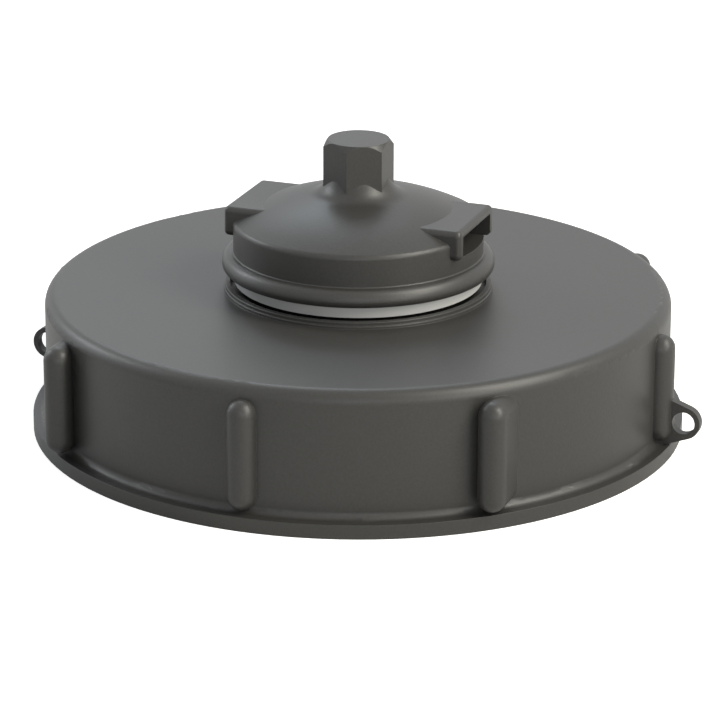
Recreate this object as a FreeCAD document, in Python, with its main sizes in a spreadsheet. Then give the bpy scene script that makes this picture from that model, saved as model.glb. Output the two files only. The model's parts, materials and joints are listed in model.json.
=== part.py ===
"""Vented tank lid: a moulded screw lid for a wide tank neck, with a vented screw plug in its middle.

The lid lies with the underside of its flange on z = 0 and its axis on Z. Its grip ribs and seal eyes
lie on the X and Y axes. Sizes are in millimetres.
"""
import FreeCAD, Part
import math
import os

import Sketcher
from FreeCAD import Vector

FRONT = "XZ_Plane"
SIDE = "YZ_Plane"
GROUND = "XY_Plane"
START, END, CENTRE = range(1, 4)
ON_LEVEL, ON_UPRIGHT = range(-1, -3, -1)
TINY = 1e-6
CLOSE = 0.01
HALF = "half"

# Driving sizes: alias, value and what it measures.
SIZES = [
    ("wall_radius", 87.0, "outer radius of the lid's skirt"),
    ("flange_width", 4.0, "how far the bottom flange stands out from the skirt"),
    ("flange_height", 4.0, "thickness of the flange"),
    ("wall_thickness", 4.0, "thickness of the skirt at the root of its neck thread"),
    ("neck_thread_length", 22.0, "length of the skirt's bore that carries the neck thread"),
    ("neck_step", 1.0, "how far the bore steps in above that thread"),
    ("lid_height", 39.0, "height of the lid's flat top"),
    ("disc_thickness", 4.0, "thickness of the lid's top disc"),
    ("top_round", 3.5, "rounding of the lid's top edge"),
    ("foot_round", 2.0, "hollow rounding between skirt and flange"),
    ("rib_half_width", 3.9, "half the width of a grip rib, and the radius of its ends"),
    ("rib_low", 4.9, "height of a grip rib's lower end"),
    ("rib_high", 35.3, "height of a grip rib's upper end"),
    ("rib_rise", 4.4, "how far an axial rib's nose stands out from the skirt"),
    ("rib_flat", 0.2, "half the width of the flat that the rounding of a rib's nose leaves"),
    ("corner_rib_rise", 8.6, "how far the nose of a rib between the axes stands out from the skirt"),
    ("eye_thickness", 2.7, "thickness of a seal eye's plate"),
    ("eye_gap", 0.25, "how far a seal eye's hole starts beyond the nose of its rib"),
    ("eye_level", 11.0, "height of a seal eye's hole"),
    ("eye_hole_radius", 3.15, "radius of the hole for the sealing wire"),
    ("eye_radius", 4.6, "outer radius of the eye round its hole"),
    ("eye_slope", 20.0, "slope of the eye's edges towards the skirt, in degrees"),
    ("lip_thickness", 2.0, "thickness of the lip that centres the neck gasket"),
    ("lip_depth", 5.0, "how far the lip hangs below the disc"),
    ("web_count", 8.0, "number of stiffening webs under the disc"),
    ("web_thickness", 2.0, "thickness of a stiffening web"),
    ("web_depth", 5.0, "how far a web hangs below the disc"),
    ("gasket_width", 7.0, "radial width of the neck gasket"),
    ("gasket_height", 3.5, "thickness of the neck gasket"),
    ("gasket_gap", 0.5, "clearance of the neck gasket to lip and skirt"),
    ("collar_wall", 1.8, "wall of the collar round the recess that takes the plug's seal"),
    ("collar_step", 0.9, "height of the collar's lower step"),
    ("collar_inset", 0.3, "how far the collar steps in above it"),
    ("collar_height", 1.9, "height of the collar above the disc"),
    ("collar_round", 0.25, "rounding of the collar's edges"),
    ("seat_gap", 2.6, "free width round the seal's foot in that recess"),
    ("seat_depth", 1.7, "depth of the recess below the collar's rim"),
    ("hub_wall", 4.5, "wall of the threaded hub that hangs under the disc"),
    ("hub_depth", 15.0, "length of the threaded hub below the seal's seat"),
    ("plug_thread_radius", 29.8, "crest radius of the plug's two inch pipe thread"),
    ("plug_thread_depth", 1.4, "depth of that thread"),
    ("thread_gap", 0.2, "clearance between the crests of plug and hub and their roots"),
    ("shank_length", 18.0, "length of the plug's shank below its head"),
    ("shank_wall", 3.4, "wall of the shank at the root of its thread"),
    ("seal_height", 5.5, "height of the plug's pale seal ring"),
    ("seal_gap", 0.5, "clearance of the seal ring round the crests of the plug's thread"),
    ("seal_foot_width", 2.7, "width of the ring's narrower foot, which stands in the collar"),
    ("seal_foot_height", 2.0, "height of that foot"),
    ("seal_step", 1.45, "how far the ring stands out over its foot"),
    ("bead_rise", 3.1, "how far the bead at the foot of the plug's head stands out from it"),
    ("bead_round", 1.7, "radius of the bead's nose"),
    ("bead_hollow", 1.6, "hollow rounding between the bead and the wall above it"),
    ("head_radius", 34.7, "radius of the plug's head"),
    ("crown_radius", 73.4, "radius of the sphere that the plug's crown is cut from"),
    ("crown_rise", 22.5, "height of that sphere's top above the head's underside"),
    ("shoulder_round", 1.5, "rounding between the plug's wall and crown"),
    ("hex_flats", 17.1, "width across the flats of the plug's hexagon"),
    ("hex_rise", 36.9, "height of the hexagon's top above the head's underside"),
    ("hex_bevel", 1.9, "height of the cone that bevels the hexagon's corners"),
    ("hex_face_radius", 8.5, "radius of the round face left on the hexagon's top"),
    ("hex_foot_round", 7.0, "hollow rounding between hexagon and crown"),
    ("hex_neck_radius", 8.3, "radius at which that rounding stands upright"),
    ("hood_inset", 0.2, "how far a vent hood's end stays inside the head's radius"),
    ("hood_half_width", 14.3, "half the width of a hood"),
    ("hood_rise", 17.75, "height of the hoods' top above the head's underside"),
    ("hood_roof", 2.05, "thickness of a hood's roof"),
    ("hood_leg", 2.7, "thickness of a hood's two side walls"),
    ("hood_floor_rise", 9.35, "height of the vent pocket's floor above the head's underside"),
    ("hood_round", 1.5, "rounding of a hood's long edges"),
    ("hood_end_round", 1.3, "rounding of the edges round a hood's end"),
    ("pocket_wall", 3.0, "wall between a vent pocket and the valve chamber"),
    ("chamber_step", 3.5, "width of the chamber's shoulder above the valve cartridge"),
    ("chamber_floor_rise", 5.5, "height of the chamber's shoulder above the head's underside"),
    ("chamber_side", 8.5, "height of the chamber's upright wall"),
    ("chamber_cone", 4.0, "rise of the chamber's sloping ceiling"),
    ("chamber_flat_radius", 6.0, "radius of the flat in the middle of the ceiling"),
    ("port_radius", 1.7, "radius of a vent port between chamber and pocket"),
    ("port_pitch", 7.0, "distance between vent ports"),
    ("port_level", 2.7, "height of the ports above the vent pocket's floor"),
    ("cartridge_gap", 0.3, "clearance of the valve cartridge in its bore"),
    ("valve_gasket_height", 1.4, "thickness of the gasket above the valve body"),
    ("valve_body_height", 13.6, "height of the valve body"),
    ("valve_wall", 4.5, "wall of the valve body"),
    ("cage_seat_depth", 2.0, "depth of the step that takes the valve cage"),
    ("cage_seat_width", 2.5, "width of that step"),
    ("plate_level", 4.5, "height of the valve plate's underside above the body's lower rim"),
    ("plate_thickness", 2.5, "thickness of the valve plate"),
    ("seat_hole_radius", 8.0, "radius of the pressure valve's opening"),
    ("seat_lip_width", 1.2, "width of the lip round it"),
    ("seat_lip_height", 1.0, "height of the lip"),
    ("poppet_radius", 12.0, "radius of the poppet's disc"),
    ("poppet_thickness", 2.2, "thickness of the poppet's disc"),
    ("poppet_hub_radius", 6.6, "radius of the hub that centres the poppet's seal"),
    ("poppet_seal_height", 1.2, "thickness of the poppet's seal"),
    ("poppet_seal_radius", 10.8, "outer radius of the poppet's seal"),
    ("stem_radius", 2.2, "radius of the poppet's stem"),
    ("stem_gap", 0.05, "running clearance of the stem in its guide"),
    ("stem_stand_out", 1.0, "how far the stem stands out of the cage's hub at rest"),
    ("cage_rise", 9.4, "height of the cage's hub above its foot"),
    ("cage_hub_radius", 6.0, "radius of the cage's hub"),
    ("cage_hub_height", 3.0, "height of the cage's hub"),
    ("cage_gap", 0.1, "clearance of the cage's foot in its step"),
    ("cage_rim", 1.7, "what is left between a window and the hub or foot"),
    ("cage_window_width", 7.0, "width of a window in the cage"),
    ("cage_window_count", 4.0, "number of windows in the cage"),
    ("spring_radius", 4.5, "mean radius of the valve spring's coils"),
    ("spring_wire_radius", 0.4, "radius of the spring's wire, which is drawn six-sided"),
    ("spring_turns", 4.0, "number of turns of the spring"),
    ("umbrella_gap", 1.2, "free width between the vacuum valve's skirt and the cartridge's wall"),
    ("umbrella_radius", 4.2, "radius of the vacuum valve's skirt"),
    ("umbrella_thickness", 1.2, "thickness of the skirt at its middle"),
    ("umbrella_stem_radius", 1.2, "radius of its stem"),
    ("umbrella_bead_radius", 1.8, "radius of the bead that holds it above the plate"),
    ("umbrella_bead_height", 2.0, "height of that bead"),
    ("air_hole_radius", 0.8, "radius of the holes that the skirt covers"),
    ("air_hole_ring", 2.75, "radius of the ring that they stand on"),
    ("filter_height", 1.2, "thickness of the filter disc"),
    ("baffle_height", 2.0, "thickness of the splash baffle"),
    ("baffle_hole_radius", 2.2, "radius of the baffle's holes"),
    ("baffle_hole_ring", 15.0, "radius of the ring that they stand on"),
    ("baffle_hole_count", 12.0, "number of the baffle's holes"),
    ("ring_height", 1.4, "thickness of the snap ring"),
    ("ring_width", 3.2, "radial width of the snap ring"),
    ("ring_groove", 1.0, "depth of the snap ring's groove"),
    ("ring_groove_height", 1.6, "height of the snap ring's groove"),
    ("ring_groove_gap", 0.1, "clearance of the snap ring at the groove's floor"),
    ("ring_opening", 9.0, "gap between the snap ring's ends"),
]

# Heights and radii that follow from the driving sizes, as expressions over the sheet's cells.
DISC_UNDER = "dims.lid_height - dims.disc_thickness"
FLANGE_RADIUS = "dims.wall_radius + dims.flange_width"
BORE = "dims.wall_radius - dims.wall_thickness"
GASKET_OUTER = f"{BORE} - dims.neck_step - dims.gasket_gap"
GASKET_BORE = f"{GASKET_OUTER} - dims.gasket_width"
LIP_RADIUS = f"{GASKET_BORE} - dims.gasket_gap"
RIB_ROUND = "dims.rib_half_width - dims.rib_flat"
RIB_ROOT = "dims.wall_radius - dims.wall_thickness * 2"
RIB_REACH = "dims.wall_radius + dims.rib_rise"
CORNER_RIB_OFFSET = "dims.wall_radius * sqrt(0.5)"
CORNER_RIB_ROOT = f"{CORNER_RIB_OFFSET} - dims.wall_thickness * 2"
CORNER_RIB_REACH = f"{CORNER_RIB_OFFSET} + dims.corner_rib_rise"
EYE_OFFSET = f"{RIB_REACH} + dims.eye_gap + dims.eye_hole_radius"
COLLAR_TOP = "dims.lid_height + dims.collar_height"
SEAT_LEVEL = f"{COLLAR_TOP} - dims.seat_depth"
HUB_LOW = f"{SEAT_LEVEL} - dims.hub_depth"
HUB_BORE = "dims.plug_thread_radius + dims.thread_gap"
HUB_RADIUS = f"{HUB_BORE} + dims.hub_wall"
SEAL_BORE = "dims.plug_thread_radius + dims.seal_gap"
SEAL_FOOT = f"{SEAL_BORE} + dims.seal_foot_width"
SEAL_RADIUS = f"{SEAL_FOOT} + dims.seal_step"
SEAT_RADIUS = f"{SEAL_FOOT} + dims.seat_gap"
COLLAR_RADIUS = f"{SEAT_RADIUS} + dims.collar_wall"
HEAD_UNDER = f"{SEAT_LEVEL} + dims.seal_height"
SHANK_RADIUS = "dims.plug_thread_radius - dims.plug_thread_depth"
SHANK_LOW = f"{HEAD_UNDER} - dims.shank_length"
PLUG_BORE = f"{SHANK_RADIUS} - dims.shank_wall"
CROWN_CENTRE = f"{HEAD_UNDER} + dims.crown_rise - dims.crown_radius"
BEAD_X = "dims.head_radius + dims.bead_rise - dims.bead_round"
BEAD_Z = f"{HEAD_UNDER} + dims.bead_round"
HOLLOW_X = "dims.head_radius + dims.bead_hollow"
HOLLOW_Z = (f"{BEAD_Z} + sqrt((dims.bead_round + dims.bead_hollow) ^ 2"
            f" - ({HOLLOW_X} - ({BEAD_X})) ^ 2)")
BEAD_SHARE = "dims.bead_round / (dims.bead_round + dims.bead_hollow)"
BEAD_END_X = f"{BEAD_X} + ({HOLLOW_X} - ({BEAD_X})) * {BEAD_SHARE}"
BEAD_END_Z = f"{BEAD_Z} + ({HOLLOW_Z} - ({BEAD_Z})) * {BEAD_SHARE}"
SHOULDER = f"{CROWN_CENTRE} + sqrt(dims.crown_radius ^ 2 - dims.head_radius ^ 2)"
HEX_TOP = f"{HEAD_UNDER} + dims.hex_rise"
FOOT_CENTRE_X = "dims.hex_neck_radius + dims.hex_foot_round"
FOOT_CENTRE_Z = (f"{CROWN_CENTRE} + sqrt((dims.crown_radius + dims.hex_foot_round) ^ 2"
                 f" - ({FOOT_CENTRE_X}) ^ 2)")
FOOT_SHARE = "dims.crown_radius / (dims.crown_radius + dims.hex_foot_round)"
FOOT_END_X = f"({FOOT_CENTRE_X}) * {FOOT_SHARE}"
FOOT_END_Z = f"{CROWN_CENTRE} + ({FOOT_CENTRE_Z} - ({CROWN_CENTRE})) * {FOOT_SHARE}"
HOOD_TOP = f"{HEAD_UNDER} + dims.hood_rise"
HOOD_FLOOR = f"{HEAD_UNDER} + dims.hood_floor_rise"
HOOD_REACH = "dims.head_radius - dims.hood_inset"
CHAMBER_RADIUS = f"{PLUG_BORE} - dims.chamber_step"
CHAMBER_FLOOR = f"{HEAD_UNDER} + dims.chamber_floor_rise"
CHAMBER_TOP = f"{CHAMBER_FLOOR} + dims.chamber_side"
POCKET_BACK = f"{CHAMBER_RADIUS} + dims.pocket_wall"
CARTRIDGE = f"{PLUG_BORE} - dims.cartridge_gap"
BODY_TOP = f"{CHAMBER_FLOOR} - dims.valve_gasket_height"
BODY_LOW = f"{BODY_TOP} - dims.valve_body_height"
BODY_BORE = f"{CARTRIDGE} - dims.valve_wall"
CAGE_BORE = f"{BODY_BORE} + dims.cage_seat_width"
CAGE_SEAT = f"{BODY_TOP} - dims.cage_seat_depth"
PLATE_LOW = f"{BODY_LOW} + dims.plate_level"
PLATE_TOP = f"{PLATE_LOW} + dims.plate_thickness"
LIP_TOP = f"{PLATE_TOP} + dims.seat_lip_height"
POPPET_LOW = f"{LIP_TOP} + dims.poppet_seal_height"
POPPET_TOP = f"{POPPET_LOW} + dims.poppet_thickness"
CAGE_TOP = f"{CAGE_SEAT} + dims.cage_rise"
CAGE_HUB_LOW = f"{CAGE_TOP} - dims.cage_hub_height"
BAFFLE_TOP = f"{BODY_LOW} - dims.filter_height"
RING_TOP = f"{BAFFLE_TOP} - dims.baffle_height"
GROOVE_TOP = f"{RING_TOP} + (dims.ring_groove_height - dims.ring_height) / 2"
GROOVE_LOW = f"{GROOVE_TOP} - dims.ring_groove_height"
RING_RADIUS = f"{PLUG_BORE} + dims.ring_groove - dims.ring_groove_gap"
UMBRELLA_OFFSET = f"{BODY_BORE} - dims.umbrella_gap - dims.umbrella_radius"

doc = FreeCAD.newDocument("vented_tank_lid")


def make_sheet():
    """Write the driving sizes to a sheet, one aliased cell each."""
    table = doc.addObject("Spreadsheet::Sheet", "dims")
    for row, (alias, number, note) in enumerate(SIZES, start=1):
        table.set(f"A{row}", alias)
        table.set(f"B{row}", str(number))
        table.setAlias(f"B{row}", alias)
        table.set(f"C{row}", note)
    doc.recompute()
    return table


sheet = make_sheet()


def number_of(expression):
    """Work out an expression over the sheet's cells."""
    return float(sheet.evalExpression(expression))


def new_body(label):
    """Start a sub-part."""
    body = doc.addObject("PartDesign::Body", label)
    body.Label = label
    return body


def origin_plane(body, role):
    """One of a body's own origin planes."""
    return next(item for item in body.Origin.OriginFeatures if item.Role == role)


def new_sketch(body, name, role, level="0"):
    """Attach a sketch to a body's origin plane, shifted along the plane's normal by level."""
    sketch = body.newObject("Sketcher::SketchObject", name)
    sketch.AttachmentSupport = [(origin_plane(body, role), "")]
    sketch.MapMode = "FlatFace"
    if level != "0":
        sketch.setExpression("AttachmentOffset.Base.z", level)
    return sketch


def fix_point(sketch, geometry, point, place):
    """Bind one point of a sketch's geometry to two expressions."""
    for kind, axis, expression in (("DistanceX", ON_UPRIGHT, place[0]), ("DistanceY", ON_LEVEL, place[1])):
        distance = number_of(expression)
        if abs(distance) < TINY:
            sketch.addConstraint(Sketcher.Constraint("PointOnObject", geometry, point, axis))
            continue
        index = sketch.addConstraint(
            Sketcher.Constraint(kind, -1, START, geometry, point, distance))
        sketch.setExpression(f"Constraints[{index}]", expression)


def flat(place):
    """A sketch point from two expressions."""
    return Vector(number_of(place[0]), number_of(place[1]), 0)


def arc_between(start, end, radius, left):
    """The short arc from start to end, bulging left or right of the straight way."""
    middle = (start + end) * 0.5
    way = end - start
    rise = radius - math.sqrt(max(radius ** 2 - (way.Length / 2) ** 2, 0))
    side = Vector(-way.y, way.x, 0).normalize() * (rise if left else -rise)
    return Part.Arc(start, middle + side, end)


def draw_outline(sketch, corners):
    """Draw a closed outline.

    A corner is (x, y) where a straight edge leaves it, or (x, y, radius, left) where an arc does.
    HALF as the radius stands for a half circle over a level or an upright diameter.
    """
    places = [flat(corner) for corner in corners]
    edges = []
    for index, corner in enumerate(corners):
        start = places[index]
        end = places[(index + 1) % len(corners)]
        if len(corner) == 2:
            edges.append(Part.LineSegment(start, end))
        else:
            half = (end - start).Length / 2
            radius = half if corner[2] == HALF else number_of(corner[2])
            edges.append(arc_between(start, end, radius, corner[3]))
    first = sketch.addGeometry(edges)[0]
    ends = []
    for index in range(len(corners)):
        turned = (sketch.getPoint(first + index, START) - places[index]).Length > TINY
        ends.append((END, START) if turned else (START, END))
    for index, corner in enumerate(corners):
        following = (index + 1) % len(corners)
        sketch.addConstraint(Sketcher.Constraint(
            "Coincident", first + index, ends[index][1], first + following, ends[following][0]))
        fix_point(sketch, first + index, ends[index][0], corner)
        if len(corner) == 2:
            continue
        if corner[2] == HALF:
            level = abs(places[index].y - places[following].y) < TINY
            kind, expression = ("DistanceY", corner[1]) if level else ("DistanceX", corner[0])
            bound = sketch.addConstraint(
                Sketcher.Constraint(kind, -1, START, first + index, CENTRE, number_of(expression)))
        else:
            expression = corner[2]
            bound = sketch.addConstraint(
                Sketcher.Constraint("Radius", first + index, number_of(expression)))
        sketch.setExpression(f"Constraints[{bound}]", expression)


def draw_circle(sketch, centre, radius):
    """Draw a circle from expressions for its centre and radius."""
    geometry = sketch.addGeometry(Part.Circle(flat(centre), Vector(0, 0, 1), number_of(radius)))
    fix_point(sketch, geometry, CENTRE, centre)
    index = sketch.addConstraint(Sketcher.Constraint("Radius", geometry, number_of(radius)))
    sketch.setExpression(f"Constraints[{index}]", radius)


def draw_slot(sketch, middle, low, high, half_width):
    """Draw an upright slot with round ends whose tips stand at low and high."""
    left = f"{middle} - {half_width}"
    right = f"{middle} + {half_width}"
    lower = f"{low} + {half_width}"
    upper = f"{high} - {half_width}"
    draw_outline(sketch, [
        (left, lower, HALF, False), (right, lower), (right, upper, HALF, False), (left, upper),
    ])


def box_outline(left, right, low, high):
    """The corners of an upright rectangle."""
    return [(left, low), (right, low), (right, high), (left, high)]


def hexagon_corners(middle, radius):
    """The corners of a hexagon that stands on one of them."""
    across, up = middle
    half = f"({radius}) * sqrt(3) / 2"
    low, high = f"{up} - ({radius}) / 2", f"{up} + ({radius}) / 2"
    return [
        (f"{across} + {half}", low), (f"{across} + {half}", high), (across, f"{up} + {radius}"),
        (f"{across} - {half}", high), (f"{across} - {half}", low), (across, f"{up} - ({radius})"),
    ]


def spin(body, name, outline, kind="PartDesign::Revolution"):
    """Turn an outline in the front plane about the body's axis, to add or to cut."""
    sketch = new_sketch(body, f"{name}_outline", FRONT)
    draw_outline(sketch, outline)
    turned = body.newObject(kind, name)
    turned.Profile = sketch
    turned.ReferenceAxis = (sketch, ["V_Axis"])
    turned.Angle = 360
    doc.recompute()
    return turned


def extrude(sketch, name, length, kind="PartDesign::Pad", reverse=False, both=False):
    """Add or cut a sketch's shape along its normal; both spreads the length to both sides."""
    grown = sketch.getParentGeoFeatureGroup().newObject(kind, name)
    grown.Profile = sketch
    grown.Reversed = reverse
    if both:
        grown.SideType = "Symmetric"
    grown.setExpression("Length", length)
    doc.recompute()
    return grown


def repeat(body, name, feature, count):
    """Repeat a feature evenly round the body's axis."""
    pattern = body.newObject("PartDesign::PolarPattern", name)
    pattern.Originals = [feature]
    pattern.Axis = (origin_axis(body), [""])
    pattern.Angle = 360
    pattern.setExpression("Occurrences", count)
    body.Tip = pattern
    doc.recompute()
    return pattern


def origin_axis(body):
    """A body's own upright axis."""
    return next(item for item in body.Origin.OriginFeatures if item.Role == "Z_Axis")


def round_edges(body, name, feature, radius, wanted):
    """Round the edges of a feature for which wanted(edge) holds."""
    names = [f"Edge{index}" for index, edge in enumerate(feature.Shape.Edges, start=1) if wanted(edge)]
    fillet = body.newObject("PartDesign::Fillet", name)
    fillet.Base = (feature, names)
    fillet.setExpression("Radius", radius)
    doc.recompute()
    return fillet


def is_ring(edge, radius, level):
    """Whether an edge is a circle about the axis with this radius and height."""
    return (edge.Curve.TypeId == "Part::GeomCircle" and abs(edge.Curve.Radius - radius) < CLOSE
            and abs(edge.Curve.Center.z - level) < CLOSE and abs(edge.Curve.Center.x) < CLOSE)


def lies_at(edge, axis, place):
    """Whether all of an edge lies in a plane across an axis (0, 1, 2)."""
    box = edge.BoundBox
    low = (box.XMin, box.YMin, box.ZMin)[axis]
    high = (box.XMax, box.YMax, box.ZMax)[axis]
    return abs(low - place) < CLOSE and abs(high - place) < CLOSE


def add_rib(body, name, plane, middle, root, reach, back):
    """Add a grip rib whose nose points along the plane's normal, or against it."""
    sketch = new_sketch(body, f"{name}_outline", plane, f"-({root})" if back else root)
    draw_slot(sketch, middle, "dims.rib_low", "dims.rib_high", "dims.rib_half_width")
    pad = extrude(sketch, name, f"{reach} - ({root})", reverse=back)
    axis = 0 if plane == SIDE else 1
    nose = number_of(reach) * (-1 if back else 1) * (1 if plane == SIDE else -1)
    lowest = number_of("dims.rib_low") - CLOSE
    side = number_of(middle)
    width = number_of("dims.rib_half_width") + CLOSE

    def on_nose(edge):
        across = edge.CenterOfMass.y if plane == SIDE else edge.CenterOfMass.x
        return (lies_at(edge, axis, nose) and edge.BoundBox.ZMin > lowest
                and abs(across - side) < width)

    return round_edges(body, f"{name}_nose", pad, RIB_ROUND, on_nose)


def make_lid_body():
    """The moulded lid: disc, skirt, flange, ribs, seal eyes, collar and threaded hub."""
    body = new_body("lid_body")
    outer = spin(body, "shell", [
        ("0", "0"), (FLANGE_RADIUS, "0"), (FLANGE_RADIUS, "dims.flange_height"),
        ("dims.wall_radius", "dims.flange_height"), ("dims.wall_radius", "dims.lid_height"),
        (COLLAR_RADIUS, "dims.lid_height"), (COLLAR_RADIUS, "dims.lid_height + dims.collar_step"),
        (f"{COLLAR_RADIUS} - dims.collar_inset", "dims.lid_height + dims.collar_step"),
        (f"{COLLAR_RADIUS} - dims.collar_inset", COLLAR_TOP), ("0", COLLAR_TOP),
    ])
    wall = number_of("dims.wall_radius")
    outer = round_edges(body, "shell_top_round", outer, "dims.top_round",
                        lambda edge: is_ring(edge, wall, number_of("dims.lid_height")))
    outer = round_edges(body, "shell_foot_round", outer, "dims.foot_round",
                        lambda edge: is_ring(edge, wall, number_of("dims.flange_height")))
    step = number_of(COLLAR_RADIUS), number_of("dims.lid_height + dims.collar_step")
    rim = number_of(f"{COLLAR_RADIUS} - dims.collar_inset"), number_of(COLLAR_TOP)
    round_edges(body, "collar_round", outer, "dims.collar_round",
                lambda edge: is_ring(edge, *step) or is_ring(edge, *rim))
    for back, side in ((False, "front"), (True, "back")):
        add_rib(body, f"rib_{side}", FRONT, "0", RIB_ROOT, RIB_REACH, back)
        for place, sign in (("left", "-"), ("right", "")):
            add_rib(body, f"rib_{side}_{place}", FRONT, f"{sign}{CORNER_RIB_OFFSET}",
                    CORNER_RIB_ROOT, CORNER_RIB_REACH, back)
    add_rib(body, "rib_right", SIDE, "0", RIB_ROOT, RIB_REACH, False)
    add_rib(body, "rib_left", SIDE, "0", RIB_ROOT, RIB_REACH, True)
    add_eyes(body)
    hollow_lid(body)
    return body


def add_eyes(body):
    """Add the two eyes that take a sealing wire."""
    tangent_x = f"{EYE_OFFSET} + dims.eye_radius * sin(dims.eye_slope * 1 deg)"
    tangent_rise = "dims.eye_radius * cos(dims.eye_slope * 1 deg)"
    root_x = "dims.wall_radius - dims.wall_thickness / 2"
    root_rise = f"{tangent_rise} + ({tangent_x} - ({root_x})) * tan(dims.eye_slope * 1 deg)"
    outline = new_sketch(body, "eye_outline", FRONT)
    draw_outline(outline, [
        (root_x, f"dims.eye_level - ({root_rise})"),
        (tangent_x, f"dims.eye_level - {tangent_rise}", "dims.eye_radius", False),
        (tangent_x, f"dims.eye_level + {tangent_rise}"),
        (root_x, f"dims.eye_level + {root_rise}"),
    ])
    plate = extrude(outline, "eye_plate", "dims.eye_thickness", both=True)
    hole = new_sketch(body, "eye_hole_outline", FRONT)
    draw_circle(hole, (EYE_OFFSET, "dims.eye_level"), "dims.eye_hole_radius")
    pierced = extrude(hole, "eye_hole", "dims.eye_thickness * 2", "PartDesign::Pocket", both=True)
    pattern = body.newObject("PartDesign::PolarPattern", "eyes")
    pattern.Originals = [plate, pierced]
    pattern.Axis = (origin_axis(body), [""])
    pattern.Angle = 360
    pattern.Occurrences = 2
    body.Tip = pattern
    doc.recompute()


def hollow_lid(body):
    """Cut the lid's inside: skirt bore, space round the hub, hub bore and seal seat."""
    spin(body, "hollow", [
        ("0", "0"), (BORE, "0"), (BORE, "dims.neck_thread_length"),
        (f"{BORE} - dims.neck_step", "dims.neck_thread_length"), (f"{BORE} - dims.neck_step", DISC_UNDER),
        (LIP_RADIUS, DISC_UNDER), (LIP_RADIUS, f"{DISC_UNDER} - dims.lip_depth"),
        (f"{LIP_RADIUS} - dims.lip_thickness", f"{DISC_UNDER} - dims.lip_depth"),
        (f"{LIP_RADIUS} - dims.lip_thickness", DISC_UNDER), (HUB_RADIUS, DISC_UNDER),
        (HUB_RADIUS, HUB_LOW), (HUB_BORE, HUB_LOW), (HUB_BORE, SEAT_LEVEL),
        (SEAT_RADIUS, SEAT_LEVEL), (SEAT_RADIUS, COLLAR_TOP), ("0", COLLAR_TOP),
    ], "PartDesign::Groove")
    web = new_sketch(body, "web_outline", GROUND, f"{DISC_UNDER} - dims.web_depth")
    draw_outline(web, box_outline(f"{HUB_BORE} + dims.hub_wall / 2",
                                  f"{LIP_RADIUS} - dims.lip_thickness / 2",
                                  "-dims.web_thickness / 2", "dims.web_thickness / 2"))
    pad = extrude(web, "web", "dims.web_depth + dims.disc_thickness / 2")
    repeat(body, "webs", pad, "dims.web_count")


def make_ring(label, inner, outer, low, high):
    """A plain flat ring."""
    body = new_body(label)
    spin(body, f"{label}_ring", box_outline(inner, outer, low, high))
    return body


def make_plug_seal():
    """The pale ring between plug and lid, whose narrower foot stands in the collar."""
    body = new_body("plug_seal")
    foot_top = f"{SEAT_LEVEL} + dims.seal_foot_height"
    spin(body, "seal_turned", [
        (SEAL_BORE, SEAT_LEVEL), (SEAL_FOOT, SEAT_LEVEL), (SEAL_FOOT, foot_top),
        (SEAL_RADIUS, foot_top), (SEAL_RADIUS, HEAD_UNDER), (SEAL_BORE, HEAD_UNDER),
    ])
    return body


def make_plug_body():
    """The vented screw plug: shank, bead, crown, hexagon, and two vent hoods."""
    body = new_body("plug_body")
    outer = spin(body, "plug", [
        ("0", SHANK_LOW), (SHANK_RADIUS, SHANK_LOW), (SHANK_RADIUS, HEAD_UNDER),
        (BEAD_X, HEAD_UNDER, "dims.bead_round", False),
        (BEAD_END_X, BEAD_END_Z, "dims.bead_hollow", True),
        ("dims.head_radius", HOLLOW_Z),
        ("dims.head_radius", SHOULDER, "dims.crown_radius", False),
        (FOOT_END_X, FOOT_END_Z, "dims.hex_foot_round", True),
        ("dims.hex_neck_radius", FOOT_CENTRE_Z), ("0", FOOT_CENTRE_Z),
    ])
    head = number_of("dims.head_radius")
    round_edges(body, "shoulder_round", outer, "dims.shoulder_round",
                lambda edge: is_ring(edge, head, number_of(SHOULDER)))
    add_hexagon(body)
    add_hoods(body)
    hollow_plug(body)
    return body


def add_hexagon(body):
    """Add the hexagon and bevel its corners with a cone."""
    corner = "dims.hex_flats / sqrt(3)"
    foot = f"{FOOT_END_Z} - dims.hex_bevel"
    sketch = new_sketch(body, "hexagon_outline", GROUND, foot)
    draw_outline(sketch, hexagon_corners(("0", "0"), corner))
    extrude(sketch, "hexagon", f"{HEX_TOP} - ({foot})")
    wide = f"2 * {corner} - dims.hex_face_radius"
    spin(body, "hexagon_bevel", [
        ("dims.hex_face_radius", HEX_TOP), (wide, f"{HEX_TOP} - 2 * dims.hex_bevel"), (wide, HEX_TOP),
    ], "PartDesign::Groove")


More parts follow.
